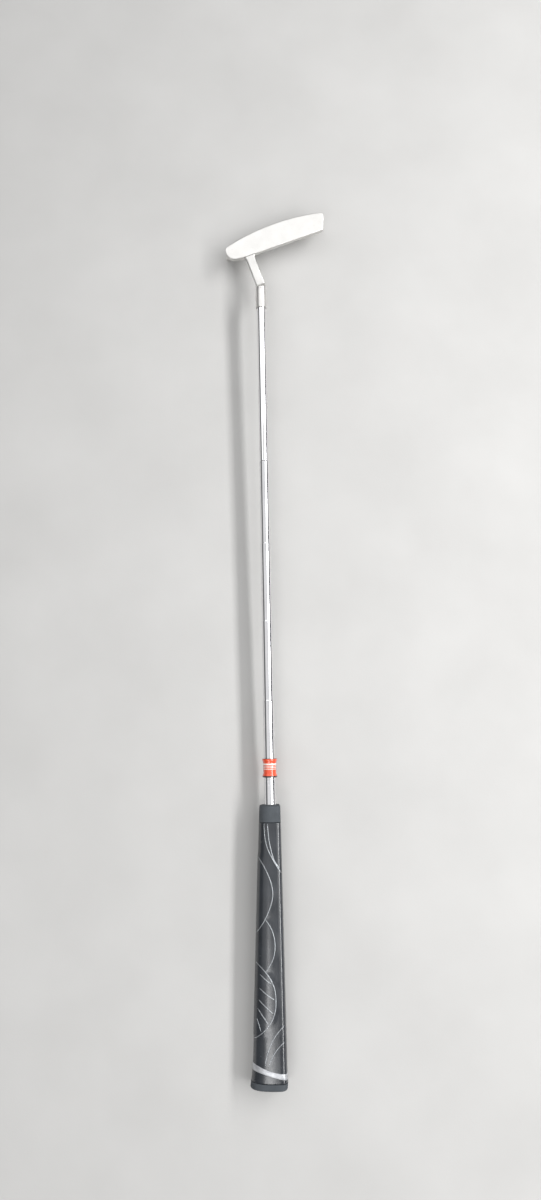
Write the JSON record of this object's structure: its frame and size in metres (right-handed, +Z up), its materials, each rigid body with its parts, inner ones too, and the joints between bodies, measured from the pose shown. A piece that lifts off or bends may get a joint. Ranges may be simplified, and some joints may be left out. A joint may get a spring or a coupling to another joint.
{
  "type": "blade putter",
  "caption": "Blade putter with a plumber's neck, cavity back, sole weights, stepped steel shaft, shaft band and pistol grip with raised lines.",
  "frame": {"origin": "bottom centre of the bounding box, on the floor that the putter lies on, face up", "axes": "+Y along the shaft from the grip to the head, +X towards the toe, +Z up, the way the striking face looks"},
  "size_m": [0.1094, 0.9088, 0.0368],
  "materials": {
    "head_steel": "satin, fine misted",
    "neck_steel": "satin, fine misted",
    "weight_steel": "turned",
    "shaft_chrome": "bright chrome plate",
    "plug_plastic": "moulded",
    "band_vinyl": "printed vinyl, orange-red with white lines",
    "grip_tape": "crepe tape",
    "grip_foam": "closed-cell foam",
    "grip_skin": "satin polyurethane with raised silver lines",
    "grip_rubber": "matte"
  },
  "bodies": {
    "root": {"blade_head": "head_steel", "plumber_neck": "neck_steel", "heel_weight": "weight_steel", "toe_weight": "weight_steel", "shaft": "shaft_chrome", "tip_plug": "plug_plastic", "shaft_band": "band_vinyl", "grip_tape": "grip_tape", "grip_core": "grip_foam", "grip_wrap": "grip_skin", "grip_collar": "grip_rubber", "grip_end_cap": "grip_rubber"}
  },
  "joints": []
}
